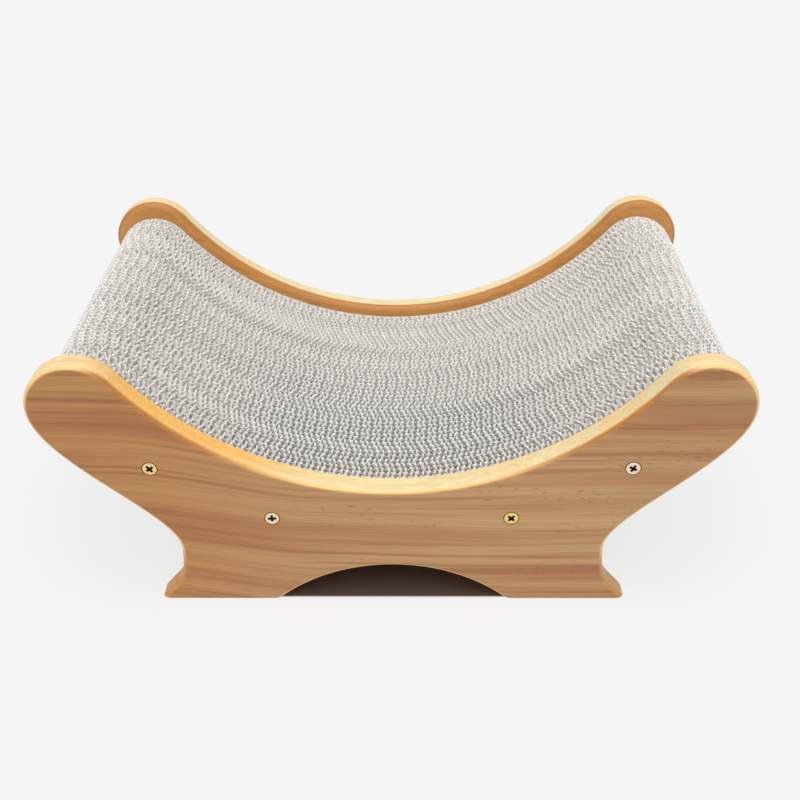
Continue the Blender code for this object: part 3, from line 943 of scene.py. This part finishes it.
class SCRATCHER_OT_screws(bpy.types.Operator):
    """Builds the eight countersunk screws, each turned and worn in its own way"""

    bl_idname = "scratcher.screws"
    bl_label = "Screws"

    def execute(self, context):
        sizes = context.scene.scratcher_screws
        boards = context.scene.scratcher_boards
        finish = yellow_zinc(boards, context.scene.scratcher_finishes)
        blank = add_piece("screw_blank", screw_shape(sizes))
        cut_out(blank, [recess_wing("recess", sizes, turn) for turn in (0, math.pi / 2)])
        thread = add_piece("screw_thread", thread_shape(sizes))
        for name, (_, worn) in SCREW_HEADS.items():
            shape = bmesh.new()
            shape.from_mesh(blank.data)
            shape.from_mesh(thread.data)
            move(shape, screw_matrix(name, boards))
            screw = add_piece(name + "_wood_screw", shape)
            smooth(screw)
            wear = screw.data.attributes.new(WEAR_ATTRIBUTE, "FLOAT", "POINT")
            wear.data.foreach_set("value", [worn] * len(screw.data.vertices))
            settle(screw, finish, FRAME_BODY, "yellow_zinc", name + "_screw")
        for spare in (blank, thread):
            bpy.data.objects.remove(spare, do_unlink=True)
        return {"FINISHED"}


class PadSection:
    """The pad's section: how high its top and underside are at each place along X."""

    def __init__(self, boards, sizes):
        self.radius = seat_radius(boards) + sizes.inset
        self.under_radius = self.radius + sizes.thickness
        self.centre = seat_centre(boards)
        self.nose_radius = sizes.nose_radius
        self.end = PAD_HIGH.x
        self.nose_x = self.end - sizes.nose_radius
        reach = self.radius + sizes.nose_radius
        self.nose_z = self.centre - math.sqrt(reach**2 - self.nose_x**2)
        self.join = self.nose_x * self.radius / reach
        self.steepest = math.asin(self.join / self.radius)
        self.arc = self.radius * self.steepest
        self.length = self.arc + self.nose_radius * (self.steepest + LAST_TURN)
        self.last = self.nose_x + self.nose_radius * math.sin(LAST_TURN)
        self.tilt = sizes.paper_tilt
        self.glue_drop = sizes.glue_drop

    def top(self, x):
        x = abs(x)
        if x < self.join:
            return self.centre - math.sqrt(self.radius**2 - x**2)
        return self.nose_z + math.sqrt(self.nose_radius**2 - (x - self.nose_x) ** 2)

    def under(self, x):
        return min(self.centre - math.sqrt(self.under_radius**2 - x**2), self.nose_z)

    def place(self, along):
        """Where a length along the pad's top, from its middle, ends up along X."""
        beyond = abs(along) - self.arc
        if beyond < 0:
            return self.radius * math.sin(along / self.radius)
        turn = beyond / self.nose_radius - self.steepest
        return math.copysign(self.nose_x + self.nose_radius * math.sin(turn), along)

    def foot(self, x):
        """Where the paper at one place along X ends below: square to the cradle, upright at the ends."""
        turn = self.tilt * math.asin(min(abs(x), self.join) / self.radius)
        upright = max(0.0, abs(x) - self.join) / (self.end - self.join)
        return x + math.copysign((self.under_radius - self.radius) * math.sin(turn * (1 - upright)), x)

    def slope(self, x):
        """0 in the middle of the cradle, 1 on the steepest part of its slopes and beyond."""
        return min(1.0, (x / self.join) ** 2)

    def fade(self, x):
        """1 in the middle of the pad, and down to 0 where its paper ends on the noses."""
        return 1 - (x / self.last) ** FADE_POWER

    def drop(self, x):
        """How much lower the paper is cut along the glue lines."""
        return self.glue_drop * self.fade(x)

    def columns(self, spacing):
        """Places along X, evenly spaced, and closer together where the noses round off."""
        count = math.ceil(self.nose_x / spacing)
        right = [self.nose_x * step / count for step in range(count)]
        turns = math.ceil(LAST_TURN * self.nose_radius / spacing)
        for step in range(turns + 1):
            right.append(self.nose_x + self.nose_radius * math.sin(LAST_TURN * step / turns))
        return [-x for x in reversed(right[1:])] + right


def add_sheet(shape, section, line):
    """Adds one upright sheet of paper along a line of (x, y, how far below the pad's top it is cut)."""
    layers = shape.verts.layers.float
    depth = layers.get(DEPTH_ATTRIBUTE) or layers.new(DEPTH_ATTRIBUTE)
    made = bmesh.ops.create_grid(shape, x_segments=len(line) - 1, y_segments=1, size=0.5)
    for corner in made["verts"]:
        x, y, cut = line[round((corner.co.x + 0.5) * (len(line) - 1))]
        start = Vector((x, y, section.top(x)))
        foot = section.foot(x)
        down = Vector((foot, y, section.under(foot))) - start
        corner[depth] = cut if corner.co.y > 0 else down.length
        corner.co = start + down * (corner[depth] / down.length)


def flute_line(section, sizes, middle, swing, shift, lean, stray):
    """Where a waved sheet runs: from liner to liner and back, leaning, and astray on the slopes."""
    reach = math.ceil(2 * section.length / sizes.flute_pitch) + 2
    line = []
    for half in range(-reach, reach):
        for phase in WAVE_PHASES:
            turn = half * math.pi + phase
            along = turn * sizes.flute_pitch / math.tau + shift
            if abs(along) > section.length:
                continue
            x = section.place(along)
            side = math.sin(turn)
            out = swing * math.tanh(sizes.flute_square * side) / math.tanh(sizes.flute_square)
            # The cut drops where a wave comes close to a liner
            cut = section.drop(x) * max(0.0, 2 * abs(side) - 1)
            slope = section.slope(x)
            x += (lean * out * (1 - SLOPE_UPRIGHT * slope) + stray * slope) * section.fade(x)
            line.append((x, middle + out, cut))
    return line


def add_paper(name, shape, thickness):
    """A piece of paper sheets given their thickness."""
    bmesh.ops.recalc_face_normals(shape, faces=shape.faces)
    piece = add_piece(name, shape)
    paper = piece.modifiers.new("paper", "SOLIDIFY")
    paper.thickness = thickness
    paper.offset = 0.0
    bake_modifiers(piece)
    smooth(piece, PAPER_ANGLE)
    return piece


class SCRATCHER_OT_scratch_pad(bpy.types.Operator):
    """Builds the pad from upright sheets of corrugated cardboard"""

    bl_idname = "scratcher.scratch_pad"
    bl_label = "Scratch Pad"

    def execute(self, context):
        sizes = context.scene.scratcher_pad
        section = PadSection(context.scene.scratcher_boards, sizes)
        chance = random.Random(sizes.seed)
        pitch = (PAD_HIGH.y - PAD_LOW.y - sizes.liner_paper) / sizes.layers
        swing = (pitch - sizes.liner_paper - sizes.flute_paper) / 2
        first = PAD_LOW.y + sizes.liner_paper / 2

        liners = bmesh.new()
        columns = section.columns(LINER_SPACING)
        for layer in range(sizes.layers + 1):
            # The front and the rear liner have no glue line outside them
            inside = 0 < layer < sizes.layers
            y = first + layer * pitch
            add_sheet(liners, section, [(x, y, inside * section.drop(x)) for x in columns])

        flutes = {"pad_front_flutes": bmesh.new(), "pad_rear_flutes": bmesh.new()}
        shift = 0.0
        lean = 0.0
        side = 1
        for layer in range(sizes.layers):
            # Each sheet's waves carry on where its neighbour's end, give or take a little
            before = lean
            side = -side if chance.random() < LEAN_CHANGE else side
            lean = sizes.flute_lean * side * chance.uniform(*LEAN_RANGE)
            shift += (before + lean) * swing + sizes.flute_pitch * chance.uniform(-1, 1) * sizes.stagger
            shift = math.remainder(shift, sizes.flute_pitch)
            stray = sizes.slope_stray * sizes.flute_pitch / 2 * chance.uniform(-1, 1)
            middle = first + (layer + 0.5) * pitch
            line = flute_line(section, sizes, middle, swing, shift, lean, stray)
            half = "pad_front_flutes" if layer < sizes.layers / 2 else "pad_rear_flutes"
            add_sheet(flutes[half], section, line)

        papers = [add_paper("pad_liners", liners, sizes.liner_paper)]
        for name, shape in flutes.items():
            papers.append(add_paper(name, shape, sizes.flute_paper))
        finish = cardboard(context.scene.scratcher_finishes, pitch)
        for paper in papers:
            settle(paper, finish, PAD_BODY, "corrugated_cardboard", "scratch_pad")
        return {"FINISHED"}


def pale_floor(settings, boards):
    """Pale floor that keeps a faint shadow round the scratcher and lies in deep shade under it."""
    material, tree, shader = new_material("pale_floor")
    x, y = axes(tree, object_coordinates(tree))[:2]
    edge = boards.depth / 2
    between = ramp(tree, unsigned(tree, y), edge - settings.shade_edge, edge, 1.0, 0.0)
    beside = ramp(tree, unsigned(tree, x), boards.arch_width / 2, boards.foot_width / 2, 1.0, 0.0)
    under = times(tree, between, beside)
    colour = mix_colours(tree, under, settings.floor, settings.floor_shade)
    feed(tree, shader, {"Base Color": colour, "Roughness": 1.0, "Specular IOR Level": 0.0})
    lift = times(tree, seen_directly(tree), ramp(tree, under, 0.0, 1.0, settings.floor_lift, 0.0))
    light = {"Color": (1, 1, 1, 1), "Strength": settings.floor_glow}
    glow = add_node(tree, "Emission", light).outputs[0]
    both = add_node(tree, "MixShader", {0: lift, 1: shader.outputs[0], 2: glow}).outputs[0]
    feed(tree, tree.nodes["Material Output"], {"Surface": both})
    return material


class SCRATCHER_OT_stage(bpy.types.Operator):
    """Sets the pale floor, the soft light and the camera"""

    bl_idname = "scratcher.stage"
    bl_label = "Stage"

    def execute(self, context):
        settings = context.scene.scratcher_stage
        shape = bmesh.new()
        size = settings.floor_size
        bmesh.ops.create_grid(shape, x_segments=FLOOR_STEPS, y_segments=FLOOR_STEPS, size=size)
        move(shape, Matrix.Translation((0, 0, -settings.floor_gap)))
        floor = add_piece("floor", shape)
        floor.data.materials.append(pale_floor(settings, context.scene.scratcher_boards))

        lamp = bpy.data.lights.new("overhead", "SUN")
        lamp.energy = settings.sun
        lamp.angle = settings.sun_width
        add_object("overhead", lamp).rotation_euler = (settings.sun_tilt, 0, 0)

        world = bpy.data.worlds.new("studio")
        world.use_nodes = True
        tree = world.node_tree
        glow = ramp(tree, seen_directly(tree), 0.0, 1.0, settings.sky, settings.floor_glow)
        feed(tree, tree.nodes["Background"], {"Color": (1, 1, 1, 1), "Strength": glow})
        context.scene.world = world

        lens = bpy.data.cameras.new("camera")
        lens.lens = settings.camera_lens
        lens.sensor_width = SENSOR_WIDTH
        camera = add_object("camera", lens)
        look_down = Matrix.Rotation(math.pi / 2 - settings.camera_pitch, 4, "X")
        heading = Matrix.Rotation(settings.camera_heading, 4, "Z")
        roll = Matrix.Rotation(settings.camera_roll, 4, "Z")
        camera.matrix_world = Matrix.Translation(settings.camera_place) @ heading @ look_down @ roll
        context.scene.camera = camera
        context.scene.view_settings.view_transform = "Standard"
        return {"FINISHED"}


OPERATORS = (
    SCRATCHER_OT_side_boards,
    SCRATCHER_OT_cross_rails,
    SCRATCHER_OT_screws,
    SCRATCHER_OT_scratch_pad,
    SCRATCHER_OT_stage,
)
SETTINGS = {
    "scratcher_boards": BoardSizes,
    "scratcher_pad": PadSizes,
    "scratcher_rails": RailSizes,
    "scratcher_screws": ScrewSizes,
    "scratcher_finishes": Finishes,
    "scratcher_stage": StageSettings,
}


class SCRATCHER_PT_panel(bpy.types.Panel):
    """Lists the scratcher's operators and sizes"""

    bl_idname = "SCRATCHER_PT_panel"
    bl_label = "Wooden Cat Scratcher"
    bl_space_type = "VIEW_3D"
    bl_region_type = "UI"
    bl_category = "Scratcher"

    def draw(self, context):
        for operator in OPERATORS:
            self.layout.operator(operator.bl_idname)
        for name, group in SETTINGS.items():
            box = self.layout.box()
            box.label(text=group.__name__)
            for key in group.__annotations__:
                box.prop(getattr(context.scene, name), key)


CLASSES = (*SETTINGS.values(), *OPERATORS, SCRATCHER_PT_panel)


def register():
    for kind in CLASSES:
        bpy.utils.register_class(kind)
    for name, group in SETTINGS.items():
        setattr(bpy.types.Scene, name, bpy.props.PointerProperty(type=group))


def unregister():
    for name in SETTINGS:
        delattr(bpy.types.Scene, name)
    for kind in reversed(CLASSES):
        bpy.utils.unregister_class(kind)


def main():
    register()
    bpy.ops.scratcher.side_boards()
    bpy.ops.scratcher.cross_rails()
    bpy.ops.scratcher.screws()
    bpy.ops.scratcher.scratch_pad()
    bpy.ops.scratcher.stage()


if __name__ == "__main__":
    main()
